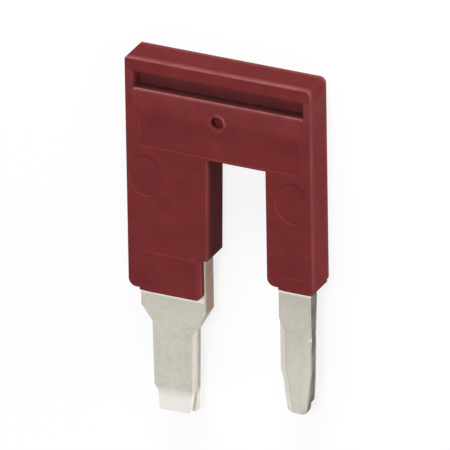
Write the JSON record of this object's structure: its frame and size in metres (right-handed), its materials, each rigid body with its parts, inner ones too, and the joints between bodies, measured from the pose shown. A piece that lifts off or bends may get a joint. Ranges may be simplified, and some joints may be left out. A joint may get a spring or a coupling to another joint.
{
  "type": "terminal block jumper bar",
  "caption": "Moulded plug-in jumper bar with grip grooves, a bare marking field and a wide and a narrow flat metal leg, for joining terminal blocks of unequal size.",
  "frame": {"origin": "under the middle of the bounding box, on the plane of the rear face that the bar lies on", "axes": "+Y from the legs' tips to the grip end, +Z out of the marked front face, +X from the large leg to the small leg"},
  "size_m": [0.0162, 0.0312, 0.0031],
  "materials": {
    "housing_plastic": "dark red polyamide with a fine satin moulded surface",
    "tinned_metal": "stamped copper alloy with matt tin plating"
  },
  "bodies": {
    "root": {"housing": "housing_plastic", "front_contact_comb": "tinned_metal", "rear_contact_comb": "tinned_metal"}
  },
  "joints": []
}
